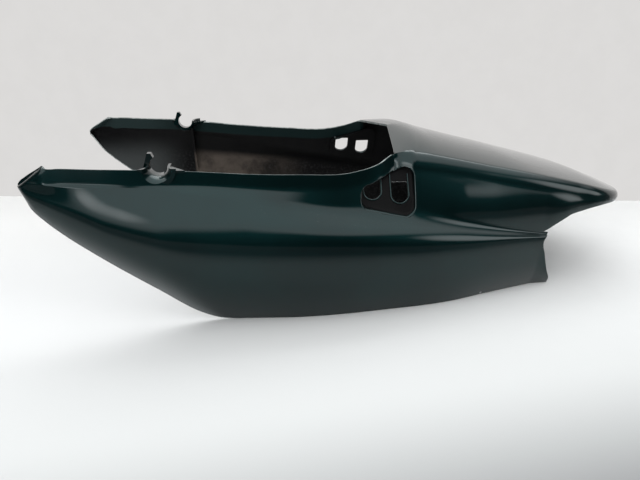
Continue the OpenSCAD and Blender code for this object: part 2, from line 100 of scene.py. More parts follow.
# %% Stations and sizes, in millimetres
# The rim's corner, the ridge behind it, the skirt's rear end, the start of the tail's
# rounding, and the toe where the lower edge meets the ground.
CORNER, RIDGE, KNEE, TURN, TOE = 434.5, 458.0, 645.0, 701.0, 236.0
FLANGE_H, FLANGE_LEAN, FLANGE_RAMP = 16.5, 3.0, 30.0
NOSE_Z, NOSE_ROUND, FRONT_Z = 176.0, 7.0, 197.5
TAIL_BLUNT, TAIL_LIP, TAIL_FLAT = 2.3, 6.0, LENGTH - 2
SWELL, SWELL_RUN, SWELL_DROP = 5, 90, 40
BELLY_OUT, BELLY_MID, BELLY_LEAN, BELLY_DROP, BELLY_FOOT = 4.6, 5.5, 5.2, 0.22, 0.36
FOOT_ROUND, VALE_ROUND, VALE_WIDE = 4.0, 6, 14
BROW_FRONT, BROW_MIDDLE, BROW_REAR, WIDEST = 9, 16, 5, 255

# %% The lines of this fairing

top_y = line((0, 167), (30, 172), (77, 172.5), (131, 171.5), (190, 165.9), (300, 157.5),
             (381, 147.5), (415, 137.63), (434.5, 124), (458, 121))
top_z = line((0, 178), (2.4, 181), (9, 186), (27, 197), (30, 199), (34, 197.3), (50, 196.8),
             (77, 195.22), (131, 192.75), (190, 188.19), (260, 181.73), (315, 178.5),
             (381, 177.5), (415, 185.18), (434.5, 193.5), (458, 195.5))
vale_y = line((0, 167.6), (30, 175.5), (130, 175.5), (255, 173), (387, 161), (504, 147),
              (577, 133), (645, 117.5))
vale_z = line((0, 177), (15, 180), (30, 179.5), (77, 176.22), (120, 173.5), (200, 163.5),
              (268, 151), (350, 136.5), (440, 124.5), (504, 110.5), (577, 92.5), (645, 78))
shoulder_y = line((0, 168.5), (60, 182), (115, 188.5), (255, 193.9), (345, 191.2),
                  (460, 173.3), (540, 153.5), (645, 122.5))
shoulder_z = line((0, 176), (62, 161), (112, 145.5), (177, 132), (255, 124.8), (346, 116.5),
                  (440, 104.3), (541, 90.7), (645, 76))
hem_y = line((0, 167), (56, 171.5), (236, 168), (320, 173), (424, 164), (514, 149),
             (565, 131.5), (666, 99))
hem_z = line((0, 172), (5, 163.5), (13, 149.5), (27, 134), (44, 119), (75, 95), (142, 46),
             (192, 11), (214, 2.5), (236, 0), (296, 0))
crease_y_line = line((458, 131), (507, 124.5), (568, 118.5), (645, 112), (701, 105))
crease_z = line((458, 190), (507, 180.5), (568, 167.5), (645, 151.5), (701, 138), (745, 126),
                (790, 113))
middle_z = line((451, 207.5), (464, 208), (477, 206.6), (510, 197), (560, 183.5),
                (610, 170.5), (645, 160.5), (701, 145), (745, 132), (790, 114))
under_line = line((645, 78), (664, 85.5), (686, 93), (718, 103.5), (739, 107.5),
                  (756, 108.5), (773, 110), (790, 107))
bow = line((434.5, 16.5), (458, 19), (500, 10), (560, 0), (790, 0))
skirt_end = line((0, 666), (8, 665), (24, 657), (51, 648), (69, 645), (80, 652))

print("flange top at mid length", round(top_y(300), 1), round(top_z(300), 1))

# %% [markdown]
# ## Sections
# At each station the skin is a half section: flange, crease, valley, shoulder, side, lower
# edge. Named corner points come from the design lines, and each corner is rounded by a
# short quadratic curve. The tail closes in plan like a blunt ellipse. This is a loft, the
# way such a moulding is drawn by its designer, and it keeps every highlight line smooth.

# %% Corner points
def closing(s):
    part = max(0.0, s - TURN) / (LENGTH - TURN)
    return (1 - part ** TAIL_BLUNT) ** (1 / TAIL_BLUNT)


def point(y, z):
    return np.array([y, z], float)


def crease_point(s):
    return point(crease_y_line(min(s, TURN)) * closing(s), crease_z(s))


def top_point(s):
    if s <= RIDGE:
        return point(top_y(s), top_z(s))
    y, z = crease_point(s)
    return point(y * 0.92, z + (middle_z(s) - z) * 0.2 + 1)


def low_point(s):
    if s <= KNEE:
        return point(vale_y(s), vale_z(s))
    under = min(under_line(s), crease_z(s) - TAIL_LIP)
    return point(mix(vale_y(KNEE), crease_point(s)[0], min(1, (s - KNEE) / 60)), under)


def foot_point(s):
    if s <= CORNER:
        height = FLANGE_H * min(1, 0.03 + 0.97 * (s / FLANGE_RAMP) ** 1.5)
        return top_point(s) + point(FLANGE_LEAN / FLANGE_H, -1) * height
    at_ridge, before = max(s, RIDGE), min(s, RIDGE)
    front = point(top_y(before) + FLANGE_LEAN + 2, top_z(before) - FLANGE_H)
    crease = crease_point(at_ridge)
    drop = min(15, (crease[1] - low_point(at_ridge)[1]) * 0.4)
    return mix(front, crease + point(drop * 0.2, -drop), min(1, (s - CORNER) / (RIDGE - CORNER)))


def fold_point(s):
    part = min(1, max(0, (s - CORNER) / (RIDGE - CORNER)))
    return mix((top_point(s) + foot_point(s)) / 2, crease_point(max(s, RIDGE)), part)


def swell_at(s, foot, low):
    """How far the flank behind the corner bulges out at its middle."""
    return SWELL * min(1, max(0, s - CORNER) / SWELL_RUN) * min(1, (foot[1] - low[1]) / SWELL_DROP)


def shoulder_point(s):
    return point(shoulder_y(s), shoulder_z(s))


def hem_point(s):
    return point(hem_y(s), 0 if s > TOE + 6 else max(0, hem_z(s)))


for name, s in (("nose", 0), ("widest", 255), ("tail", 760)):
    print(name, "top", top_point(s).round(1), "shoulder", shoulder_point(min(s, KNEE)).round(1))

# %% Short curves between corner points
def bend(a, b, c, t):
    """Quadratic curve from a to c that is pulled towards b."""
    t = np.asarray(t)[:, None]
    return a * (1 - t) ** 2 + b * 2 * t * (1 - t) + c * t * t


def arch(a, b, c, d, t):
    """Cubic curve from a to d that leaves towards b and arrives from c."""
    t = np.asarray(t)[:, None]
    u = 1 - t
    return a * u ** 3 + b * 3 * u * u * t + c * 3 * u * t * t + d * t ** 3


def straight(a, b, t):
    return a + (b - a) * np.asarray(t)[:, None]


def toward(a, b, distance):
    return a + (b - a) / (np.linalg.norm(b - a) + 1e-9) * distance


print("half way round a corner", bend(point(0, 0), point(1, 0), point(1, 1), [0.5])[0])

# %% One half section
COLUMNS = {"flange": 8, "crease": 6, "flank": 12, "valley": 8, "panel": 10, "brow": 10,
           "side": 22}


def section(s):
    """Points of the half section from the flange top to the lower edge."""
    top, fold, foot, low = top_point(s), fold_point(s), foot_point(s), low_point(s)
    shoulder, hem = shoulder_point(s), hem_point(s)
    steps = {name: np.linspace(0, 1, n + 1)[:-1] for name, n in COLUMNS.items()}
    size = np.linalg.norm(foot - low)
    round_foot = min(FOOT_ROUND, size * 0.3)
    swell = swell_at(s, foot, low)

    def flange(t):
        return bend(top, fold, foot, t)

    def flank(t):
        t = np.asarray(t)
        return straight(foot, low, t) + np.outer(swell * 4 * t * (1 - t), [1, 0])

    cut = 1 - round_foot / max(np.linalg.norm(foot - top), round_foot * 2)
    start, end = flange([cut])[0], flank([round_foot / size])[0]
    widest_vale = mix(VALE_ROUND, VALE_WIDE, min(1, max(0, s - 300) / 150))
    round_vale = min(widest_vale, size * 0.3, np.linalg.norm(shoulder - low) * 0.5)
    vale_t = 1 - round_vale / size
    rows = [flange(steps["flange"] * cut), bend(start, foot, end, steps["crease"]),
            flank(mix(round_foot / size, vale_t, steps["flank"]))]
    if s > KNEE:
        return np.concatenate(rows + [flank([vale_t])])
    vale_start, vale_end = flank([vale_t])[0], toward(low, shoulder, round_vale)
    height = shoulder[1] - hem[1]
    belly = min(1, height / 100)
    waist = toward(shoulder, shoulder + point(BELLY_LEAN * belly, -BELLY_DROP * height), height)
    if s < WIDEST:
        round_now = mix(BROW_FRONT, BROW_MIDDLE, s / WIDEST)
    else:
        round_now = mix(BROW_MIDDLE, BROW_REAR, (s - WIDEST) / (KNEE - WIDEST))
    r = min(round_now, np.linalg.norm(shoulder - low) * 0.45,
            np.linalg.norm(waist - shoulder) * 0.45)
    brow_start, brow_end = toward(shoulder, low, r), toward(shoulder, waist, r)
    rows += [bend(vale_start, low, vale_end, steps["valley"]),
             straight(vale_end, brow_start, steps["panel"]),
             bend(brow_start, shoulder, brow_end, steps["brow"]),
             arch(brow_end, brow_end + point(BELLY_OUT * belly, -BELLY_DROP * height),
                  point(shoulder[0] + BELLY_MID * belly, hem[1] + BELLY_FOOT * height), hem,
                  steps["side"]),
             hem[None]]
    return np.concatenate(rows)


print("points in a half section", len(section(300)), "and in the tail", len(section(700)))

# %% [markdown]
# ## The skin as one grid
# Rows follow the length and columns follow the half section, mirrored across the middle.
# The seat opening has no deck columns in front of the rim, and the tail has no side
# columns behind the skirt. The middle of the deck bows back, so that the rim of the seat
# opening comes to a point. Stations are close together where the form turns quickly.

# %% Rows and columns
def spread(a, b, n):
    return [a + (b - a) * i / n for i in range(n)]


DECK, NOSE_ROWS, TAIL_ROWS = 22, 22, 22
RAMP_END, RIM_BEND = FLANGE_RAMP + 8, 381
ROW_AT = [FLANGE_RAMP * (k / NOSE_ROWS) ** 1.5 for k in range(NOSE_ROWS)]
ROW_AT += spread(FLANGE_RAMP, RAMP_END, 6) + spread(RAMP_END, RIM_BEND, 74)
ROW_AT += spread(RIM_BEND, CORNER, 18)
RIM_ROW = len(ROW_AT)
ROW_AT += spread(CORNER, RIDGE, 8) + spread(RIDGE, KNEE, 44)
KNEE_ROW = len(ROW_AT)
ROW_AT += spread(KNEE, TURN, 14)
ROW_AT += [TURN + (TAIL_FLAT - TURN) * math.sin(math.radians(90 * (k + 1) / TAIL_ROWS))
           for k in range(TAIL_ROWS)]
LAST_ROW = len(ROW_AT) - 1
TOP_COLUMN = DECK
VALE_COLUMN = DECK + sum(COLUMNS[name] for name in ("flange", "crease", "flank"))
HEM_COLUMN = DECK + sum(COLUMNS.values())
print("rows", LAST_ROW + 1, "columns", 2 * HEM_COLUMN + 1)

# %% The front curl and the deck


def curl(s, z):
    """How far the front end turns inwards, along a quarter circle seen from above."""
    up = (z - NOSE_Z) * FLANGE_RAMP / (FRONT_Z - NOSE_Z)
    front = up if z > NOSE_Z else (NOSE_Z - z) / 2
    left = max(0.0, NOSE_ROUND - max(0.0, s - front))
    fade = min(1.0, max(0.0, 1 + (z - NOSE_Z) / 24))
    return fade * (NOSE_ROUND - math.sqrt(NOSE_ROUND ** 2 - left ** 2))


def deck_point(s, part):
    """Point of the deck, from the middle at 0 to the flange top at 1."""
    top = top_point(s)
    tip = (LENGTH - TAIL_FLAT) * max(0, (s - TURN) / (TAIL_FLAT - TURN)) ** 3
    middle = s + bow(s) + tip
    power = 1 + 1.2 * min(1, (s - CORNER) / (RIDGE - CORNER))
    g = part ** power
    return [mix(middle, s, g), top[0] * part, mix(middle_z(middle), top[1], g)]


print("the ridge's middle", np.round(deck_point(RIDGE, 0), 1))

# %% The outer skin
def here(row, column):
    column = abs(column)
    return (0 <= row <= LAST_ROW and column <= HEM_COLUMN
            and (row >= RIM_ROW or column >= TOP_COLUMN)
            and (row <= KNEE_ROW or column <= VALE_COLUMN))


def skin_grid():
    grid = np.full((LAST_ROW + 1, 2 * HEM_COLUMN + 1, 3), np.nan)
    for row, s in enumerate(ROW_AT):
        half = section(s)
        for column in range(HEM_COLUMN + 1):
            if not here(row, column):
                continue
            if column < TOP_COLUMN:
                x, y, z = deck_point(s, column / DECK)
            else:
                y, z = half[column - TOP_COLUMN]
                y -= curl(s, z) if s < 2 * FLANGE_RAMP else 0
                x = skirt_end(z) if row == KNEE_ROW and column > VALE_COLUMN else s
            grid[row, HEM_COLUMN + column] = x, y, z
            grid[row, HEM_COLUMN - column] = x, -y, z
    return grid


OUTER = skin_grid()
FILLED = ~np.isnan(OUTER[..., 0])
print("points in the grid", int(FILLED.sum()))

# %% [markdown]
# ## Wall thickness
# A moulding has an even wall, so the inside is the outside moved in along its normals. The
# Solidify modifier would do this, but here the normals come from the grid itself, which
# keeps the inner corners clean and lets the nose end flat.

# %% The inner skin
def grid_normals(grid):
    filled = ~np.isnan(grid[..., 0])

    def step(axis):
        ahead, behind = np.roll(grid, -1, axis), np.roll(grid, 1, axis)
        ok_ahead, ok_behind = np.roll(filled, -1, axis), np.roll(filled, 1, axis)
        last = [slice(None)] * 2
        last[axis] = -1
        ok_ahead[tuple(last)] = False
        last[axis] = 0
        ok_behind[tuple(last)] = False
        ahead = np.where(ok_ahead[..., None], ahead, grid)
        behind = np.where(ok_behind[..., None], behind, grid)
        return ahead - behind
    normal = np.cross(step(0), step(1))
    return normal / (np.linalg.norm(normal, axis=-1, keepdims=True) + 1e-12)


SOFT = 0.5
NORMALS = grid_normals(OUTER)
INNER = OUTER - WALL * NORMALS
INNER[..., 0] = np.maximum(INNER[..., 0], SOFT)
print("inner skin from", np.nanmin(INNER, axis=(0, 1)).round(1))
print("inner skin to", np.nanmax(INNER, axis=(0, 1)).round(1))

# %% [markdown]
# ## From numbers to a mesh
# Outside, inside and the strips between them close into one solid. Each face gets a
# material number, paint, bare plastic or cut edge, and each point of the inside remembers
# whether the paint mist reached it, which happens on the back of the flange.

# %% Mesh helpers
PAINT, BARE, EDGE = 0, 1, 2
FINISHES = [bpy.data.materials.new(name) for name in ("green_paint", "bare_plastic", "cut_edge")]


def to_metres(points):
    points = np.array(points, float)
    return (points - [LENGTH / 2, 0, 0]) / 1000


def make_object(name, points, faces, slots, mist=None):
    """Mesh object with a material number for each face and the mist of each point."""
    mesh = bpy.data.meshes.new(name)
    mesh.from_pydata(to_metres(points).tolist(), [], faces)
    for finish in FINISHES:
        mesh.materials.append(finish)
    mesh.polygons.foreach_set("material_index", slots)
    layer = mesh.attributes.new("mist", "FLOAT", "POINT")
    if mist is not None:
        layer.data.foreach_set("value", mist)
    mesh.update()
    piece = bpy.data.objects.new(name, mesh)
    bpy.context.collection.objects.link(piece)
    return piece

# %% Softened free edges
def cell(r, c):
    return (0 <= r < LAST_ROW and 0 <= c < OUTER.shape[1] - 1
            and FILLED[r, c] and FILLED[r + 1, c] and FILLED[r, c + 1] and FILLED[r + 1, c + 1])


def free_points():
    """Grid points on a free edge, each with the direction from the skin out over the edge."""
    outward = {}
    for r, c in zip(*np.nonzero(FILLED)):
        around = [(r - 1, c - 1), (r - 1, c), (r, c - 1), (r, c)]
        cells = [OUTER[i:i + 2, j:j + 2].reshape(4, 3).mean(0) for i, j in around if cell(i, j)]
        if 0 < len(cells) < 4:
            away = OUTER[r, c] - np.mean(cells, 0)
            away -= NORMALS[r, c] * away.dot(NORMALS[r, c])
            outward[r, c] = away / np.linalg.norm(away)
    return outward


FREE = free_points()
print("points on free edges", len(FREE))

# %% The closed shell
def make_shell():
    number = np.full(OUTER.shape[:2], -1)
    number[FILLED] = np.arange(FILLED.sum())
    count = int(FILLED.sum())
    outer, inner = OUTER.copy(), INNER.copy()
    rim = {}
    extra = []
    for (r, c), away in FREE.items():
        rim[number[r, c]] = 2 * count + len(extra)
        through = (INNER[r, c] - OUTER[r, c]) / WALL * SOFT
        if r == 0 and OUTER[r, c, 0] <= SOFT and away[0] <= 0:
            away = away * 0  # the nose end stays flat at station 0
        extra += [OUTER[r, c] + through, INNER[r, c] - through]
        outer[r, c] -= away * SOFT
        inner[r, c] -= away * SOFT
    points = np.concatenate([outer[FILLED], inner[FILLED], extra])
    columns = np.abs(np.arange(OUTER.shape[1]) - HEM_COLUMN)
    faces, slots = [], []

    def add(slot, *corners):
        faces.append([int(n) for n in corners])
        slots.append(slot)

    for r in range(LAST_ROW):
        for c in range(OUTER.shape[1] - 1):
            if not cell(r, c):
                continue
            a, b, e, d = number[r, c], number[r + 1, c], number[r + 1, c + 1], number[r, c + 1]
            add(PAINT, a, b, e, d)
            add(BARE, a + count, d + count, e + count, b + count)
            for near, one, two in (((r - 1, c), a, d), ((r + 1, c), e, b),
                                   ((r, c - 1), b, a), ((r, c + 1), d, e)):
                if not cell(*near):
                    first, second = rim[one], rim[two]
                    add(PAINT, one, two, second, first)
                    add(EDGE, first, second, second + 1, first + 1)
                    add(EDGE, first + 1, second + 1, two + count, one + count)
    flange_end = TOP_COLUMN + COLUMNS["flange"] + 2
    on_flange = (columns[None, :] <= flange_end) & (np.array(ROW_AT)[:, None] <= CORNER + 4)
    mist = np.concatenate([np.zeros(count), on_flange[FILLED], np.zeros(len(extra))])
    return make_object("fairing_shell", points, faces, slots, mist)


shell = make_shell()
print("shell faces", len(shell.data.polygons))

# %% [markdown]
# ## Strap pockets
# On each side, beside the rear corners, a pocket is sunk into the panel, and its slanted
# inner wall has two slots for the luggage straps. The block behind the pocket and the
# hollow in front of its wall are both swept from one rounded outline, seen from the side.
# The hollow flares where it meets the skin, so that the paint rolls over a soft lip.

# %% Pocket outline and slanted wall
POCKET_AT, POCKET_END, POCKET_RISE, POCKET_ROUND = 390.0, 457.0, 1.5, 11.0
POCKET_FRONT_H, POCKET_REAR_H, POCKET_DEPTH = 28.0, 55.0, 3.5
WALL_HALF_W, WALL_LEAN = 149.0, 30.0
LIP, FLOOR_ROUND, CUTTER_OUT = 2.2, 3.0, 8


def pocket_low(s):
    return vale_z(s) + POCKET_RISE


POCKET_FOOT = pocket_low(POCKET_AT)
POCKET_HUB = ((POCKET_AT + POCKET_END) / 2, POCKET_FOOT + POCKET_FRONT_H / 2)


def rounded_quad(grow, steps=10):
    r, front, rear = POCKET_ROUND, POCKET_AT + POCKET_ROUND, POCKET_END - POCKET_ROUND
    corners = ((rear, pocket_low(POCKET_END) + POCKET_REAR_H - r, 0),
               (front, POCKET_FOOT + POCKET_FRONT_H - r, 90),
               (front, POCKET_FOOT + r, 180), (rear, pocket_low(POCKET_END) + r, 270))
    ring = []
    for s, z, start in corners:
        for k in range(steps + 1):
            a = math.radians(start + 90 * k / steps)
            ring.append((s + (r + grow) * math.cos(a), z + (r + grow) * math.sin(a)))
    dense = []
    for (s0, z0), (s1, z1) in zip(ring, ring[1:] + ring[:1]):
        parts = max(1, int(math.hypot(s1 - s0, z1 - z0) / 3))
        dense += [(mix(s0, s1, k / parts), mix(z0, z1, k / parts)) for k in range(parts)]
    return dense


def plane_y(z):
    return WALL_HALF_W - (z - POCKET_FOOT) * math.tan(math.radians(WALL_LEAN))


def skin_y(s, z):
    """Half width of the outer skin at a station and a height above the shoulder."""
    foot, low, shoulder = foot_point(s), low_point(s), shoulder_point(s)
    if z >= low[1]:
        t = min(1, max(0, (foot[1] - z) / (foot[1] - low[1])))
        return mix(foot[0], low[0], t) + swell_at(s, foot, low) * 4 * t * (1 - t)
    return mix(low[0], shoulder[0], (low[1] - z) / (low[1] - shoulder[1]))


def wall_y(s, z):
    """Half width of the slotted wall: a plane that stays under the skin."""
    return min(plane_y(z), skin_y(s, z) - POCKET_DEPTH)


print("pocket foot height", round(POCKET_FOOT, 1), "wall at the top", round(plane_y(183), 1))

# %% Sweeps through rings
def sweep(name, rings, slot=PAINT, bare_from=10 ** 6):
    """Solid through rings of equal length, with flat ends, bare plastic from one ring on."""
    count = len(rings[0])
    points = [p for ring in rings for p in ring]
    faces, numbers = [], []
    for k in range(len(rings) - 1):
        for i in range(count):
            j = (i + 1) % count
            faces.append((k * count + i, k * count + j, (k + 1) * count + j, (k + 1) * count + i))
            numbers.append(slot if k < bare_from else BARE)
    faces += [tuple(range(count))[::-1], tuple(range((len(rings) - 1) * count, len(rings) * count))]
    numbers += [slot, slot if len(rings) <= bare_from else BARE]
    piece = make_object(name, points, faces, numbers)
    tidy = bmesh.new()
    tidy.from_mesh(piece.data)
    bmesh.ops.recalc_face_normals(tidy, faces=tidy.faces)
    tidy.to_mesh(piece.data)
    tidy.free()
    return piece


def mirrored(points, side):
    return [(s, side * y, z) for s, y, z in points]


def nested(outline, surface, shares=(0.8, 0.6, 0.4, 0.2, 0.02)):
    """Rings that close an end: copies of the outline that shrink to its hub."""
    hub_s, hub_z = POCKET_HUB
    rings = []
    for share in shares:
        ring = [(mix(hub_s, s, share), mix(hub_z, z, share)) for s, z in outline]
        rings.append([(s, surface(s, z), z) for s, z in ring])
    return rings


def pocket_block(side):
    outline = rounded_quad(WALL)

    def front(s, z):
        return skin_y(s, z) - WALL / 2

    def back(s, z):
        return wall_y(s, z) - WALL
    rings = nested(outline, front)[::-1] + nested(outline, front, (1,))
    rings += nested(outline, back, (1,)) + nested(outline, back)
    return sweep("pocket_block", [mirrored(ring, side) for ring in rings], BARE)


def pocket_hollow(side):
    mouth = rounded_quad(LIP * 0.85)
    rings = nested(mouth, lambda s, z: skin_y(s, z) + CUTTER_OUT, (0.02, 0.3, 0.6, 1))
    for degrees in (12, 25, 40, 58, 90):
        a = math.radians(degrees)
        grow, depth = LIP * (1 - math.sin(a)), LIP * (1 - math.cos(a))
        rings.append([(s, skin_y(s, z) - depth, z) for s, z in rounded_quad(grow)])
    lip_end = len(rings)
    for degrees in (0, 22, 45, 68, 90):
        a = math.radians(degrees)
        grow, over = -FLOOR_ROUND * (1 - math.cos(a)), FLOOR_ROUND * (1 - math.sin(a))
        rings.append([(s, min(wall_y(s, z) + over, skin_y(s, z) - LIP - 0.2), z)
                      for s, z in rounded_quad(grow)])
    rings += nested(rounded_quad(-FLOOR_ROUND), wall_y)
    return sweep("pocket_hollow", [mirrored(ring, side) for ring in rings], PAINT, lip_end)

# %% [markdown]
# ## Strap slots
# A slot is round at its foot and square at its top, cut straight through the slanted wall.
# A thin bead runs round it, where the mould left a little more plastic. The bead repeats
# four times and follows a path, so Geometry Nodes sweep it along the slot's outline and
# place the copies; the cuts themselves are plain prisms.

# %% Slot outline and cuts
SLOT_W, SLOT_H, SLOT_AT, SLOT_PITCH, SLOT_RISE = 20.0, 27.0, 405.5, 34.0, 11.0
BEAD_W, BEAD_H, BEAD_ARM = 2.5, 1.2, 10.0
SLOT_FEET = [(s, pocket_low(s) + SLOT_RISE) for s in (SLOT_AT, SLOT_AT + SLOT_PITCH)]


def slot_outline(grow=0.0, corner=1.5):
    r, top = SLOT_W / 2 + grow, SLOT_H + grow
    ring = [(r * math.cos(a), SLOT_W / 2 + r * math.sin(a))
            for a in np.linspace(math.pi, 2 * math.pi, 25)]
    for u, start in ((r - corner, 0), (corner - r, 90)):
        for k in range(7):
            a = math.radians(start + 15 * k)
            ring.append((u + corner * math.cos(a), top - corner + corner * math.sin(a)))
    return ring


def on_wall(s, foot, u, v, out):
    """Point of the slanted wall: u along the fairing, v up the wall, out of the wall."""
    lean = math.radians(WALL_LEAN)
    z0, y0 = foot, plane_y(foot)
    return (s + u, y0 - v * math.sin(lean) + out * math.cos(lean),
            z0 + v * math.cos(lean) + out * math.sin(lean))


def slot_cut(side, s, foot):
    reach = (-30, 2 * BEAD_H)
    rings = [[on_wall(s, foot, u, v, out) for u, v in slot_outline()] for out in reach]
    return sweep("slot_cut", [mirrored(ring, side) for ring in rings])

# %% The path of the beads
def bead_path():
    """One open polyline round each slot of the far side, on the face of the slanted wall."""
    points, edges = [], []
    r = SLOT_W / 2 + BEAD_W / 2
    for (s, foot), arm in zip(SLOT_FEET, (0, BEAD_ARM)):
        top = SLOT_H + arm
        outline = [(-r, v) for v in np.linspace(top, SLOT_W / 2, 8)[:-1]]
        outline += [(r * math.cos(a), SLOT_W / 2 + r * math.sin(a))
                    for a in np.linspace(math.pi, 2 * math.pi, 25)]
        outline += [(r, v) for v in np.linspace(SLOT_W / 2, top, 8)[1:]]
        first = len(points)
        for u, v in outline:
            at_s, y, z = on_wall(s, foot, u, v, 0)
            points.append((at_s, min(y, skin_y(at_s, z) - POCKET_DEPTH), z))
        edges += [(k, k + 1) for k in range(first, len(points) - 1)]
    mesh = bpy.data.meshes.new("slot_beads")
    mesh.from_pydata(to_metres(points).tolist(), edges, [])
    piece = bpy.data.objects.new("slot_beads", mesh)
    bpy.context.collection.objects.link(piece)
    return piece

# %% The tree that sweeps and mirrors them
def bead_tree():
    """Path to beads: curve, sweep, mirror to the other side, smooth, realize, paint."""
    tree = bpy.data.node_groups.new("bead_sweep", "GeometryNodeTree")
    for name, kind, way in (("Path", "NodeSocketGeometry", "INPUT"),
                            ("Radius", "NodeSocketFloat", "INPUT"),
                            ("Paint", "NodeSocketMaterial", "INPUT"),
                            ("Beads", "NodeSocketGeometry", "OUTPUT")):
        tree.interface.new_socket(name, in_out=way, socket_type=kind)
    start, end = tree.nodes.new("NodeGroupInput"), tree.nodes.new("NodeGroupOutput")
    kinds = ("MeshToCurve", "CurvePrimitiveCircle", "CurveToMesh", "Transform", "FlipFaces",
             "JoinGeometry", "SetShadeSmooth", "RealizeInstances", "SetMaterial")
    to_curve, profile, sweep_it, mirror, flip, join, smooth, real, paint = (
        tree.nodes.new("GeometryNode" + kind) for kind in kinds)
    profile.inputs["Resolution"].default_value = 12
    sweep_it.inputs["Fill Caps"].default_value = True
    mirror.inputs["Scale"].default_value = (1, -1, 1)
    for source, target in (
            (start.outputs["Path"], to_curve.inputs[0]),
            (start.outputs["Radius"], profile.inputs["Radius"]),
            (to_curve.outputs[0], sweep_it.inputs["Curve"]),
            (profile.outputs[0], sweep_it.inputs["Profile Curve"]),
            (sweep_it.outputs[0], mirror.inputs["Geometry"]),
            (mirror.outputs[0], flip.inputs["Mesh"]),
            (sweep_it.outputs[0], join.inputs[0]),
            (flip.outputs[0], join.inputs[0]),
            (join.outputs[0], smooth.inputs[0]),
            (smooth.outputs[0], real.inputs[0]),
            (real.outputs[0], paint.inputs["Geometry"]),
            (start.outputs["Paint"], paint.inputs["Material"]),
            (paint.outputs[0], end.inputs[0])):
        tree.links.new(source, target)
    return tree


def run_tree(piece, tree, **values):
    """Run a tree on a piece and keep the result as a plain mesh."""
    step = piece.modifiers.new("nodes", "NODES")
    step.node_group = tree
    sockets = {item.name: item.identifier for item in tree.interface.items_tree
               if item.in_out == "INPUT"}
    for name, value in values.items():
        step[sockets[name]] = value
    graph = bpy.context.evaluated_depsgraph_get()
    result = bpy.data.meshes.new_from_object(piece.evaluated_get(graph))
    piece.modifiers.remove(step)
    piece.data = result
    print(piece.name, "faces", len(result.polygons))

# %% [markdown]
# ## Tube saddles
# Near the front each wing carries a half-round saddle for a cross tube: a short straight
# collar that opens into a flared mouth in the flange. A prong stands at its front edge,
# a small web braces it behind, and a rib runs down inside the panel. The collar is half a
# turned profile, and one turned cutter clears the tube's way.

# %% Saddle pieces
SADDLE_AT, SADDLE_RISE, SADDLE_GAP, SADDLE_L = 154.0, 18.5, 145.0, 12.0
SADDLE_R, MOUTH_R, PRONG_W, PRONG_H = 10.5, 18.5, 9, 14.0
SADDLE_Z = top_z(SADDLE_AT) - FLANGE_H + SADDLE_RISE
SADDLE_OUT = top_y(SADDLE_AT) + FLANGE_LEAN + 2
SADDLE_IN = SADDLE_GAP + SADDLE_L


def turned(profile, start, stop, steps, side):
    """Rings of a profile of half width and radius, turned about the saddle's axis."""
    rings = []
    for k in range(steps + 1):
        a = math.radians(mix(start, stop, k / steps))
        rings.append([(SADDLE_AT + r * math.cos(a), side * y, SADDLE_Z + r * math.sin(a))
                      for y, r in profile])
    return rings


def saddle_collar(side):
    """Half a turned profile that opens into the mouth and ends inside the flange."""
    last = SADDLE_OUT - 3
    profile = [(SADDLE_GAP, SADDLE_R - 1), (SADDLE_GAP, SADDLE_R + WALL)]
    profile += [(mix(SADDLE_IN, last, t), SADDLE_R + WALL + (MOUTH_R - SADDLE_R) * t * t * 0.999)
                for t in np.linspace(0, 1, 7)]
    profile += [(last, SADDLE_R - 1)]
    return sweep("saddle_collar", turned(profile, 180, 360, 40, side), PAINT)


def saddle_bore(side):
    """The cutter that clears the tube's way and the flared mouth."""
    inside, outside = SADDLE_GAP - 6, SADDLE_OUT + 20
    profile = [(inside, SADDLE_R), (SADDLE_IN, SADDLE_R)]
    profile += [(mix(SADDLE_IN, SADDLE_OUT, t), SADDLE_R + (MOUTH_R - SADDLE_R) * t * t)
                for t in np.linspace(0.15, 1, 7)]
    profile += [(outside, MOUTH_R), (outside, 0.01), (inside, 0.01)]
    rings = turned(profile, 0, 360, 72, side)[:-1]
    columns = list(map(list, zip(*rings)))
    return sweep("saddle_bore", columns, PAINT)


def plate(name, outline, low, high, axis, side, slot=PAINT):
    """Flat plate: an outline of two coordinates, thick between two values of the third."""
    rings = []
    for level in (low, high):
        ring = []
        for a, b in outline:
            s, y, z = {"y": (a, level, b), "z": (a, b, level), "s": (level, a, b)}[axis]
            ring.append((s, side * y, z))
        rings.append(ring)
    return sweep(name, rings, slot)


def saddle_trim(side):
    """The prong, the two webs and the rib of one saddle."""
    r, s, z = SADDLE_R, SADDLE_AT, SADDLE_Z
    prong = [(s - r - 8, z - 6), (s - r - 1.5, z + PRONG_H), (s - r + 2.5, z + PRONG_H),
             (s - r + 6, z + PRONG_H - 7), (s - r + 2, z + PRONG_H - 8), (s - r + 0.5, z),
             (s - r + 1, z - 6)]
    flange_y, level = SADDLE_OUT - FLANGE_LEAN - 2 - WALL / 2, top_z(s) - WALL - 1
    behind = [(s + r + 1, SADDLE_GAP), (s + r + 20, flange_y), (s + r + 1, flange_y)]
    before = [(s - r - 1, SADDLE_GAP + PRONG_W), (s - r - 1, flange_y), (s - r - 12, flange_y)]
    half = section(s)
    first = TOP_COLUMN + COLUMNS["flange"] + COLUMNS["crease"] - DECK
    skin = [(y - WALL / 2, z0) for y, z0 in half[first:first + 50:3]]
    rib = [(SADDLE_GAP + 2, z - r - 1)] + skin
    return [plate("prong", prong, SADDLE_GAP, SADDLE_GAP + PRONG_W, "y", side),
            plate("web_behind", behind, level, level + WALL, "z", side),
            plate("web_before", before, level, level + WALL, "z", side),
            plate("rib", rib, s + r - WALL, s + r, "s", side, BARE)]


print("saddle axis at", round(SADDLE_AT - LENGTH / 2, 1), round(SADDLE_Z, 2))

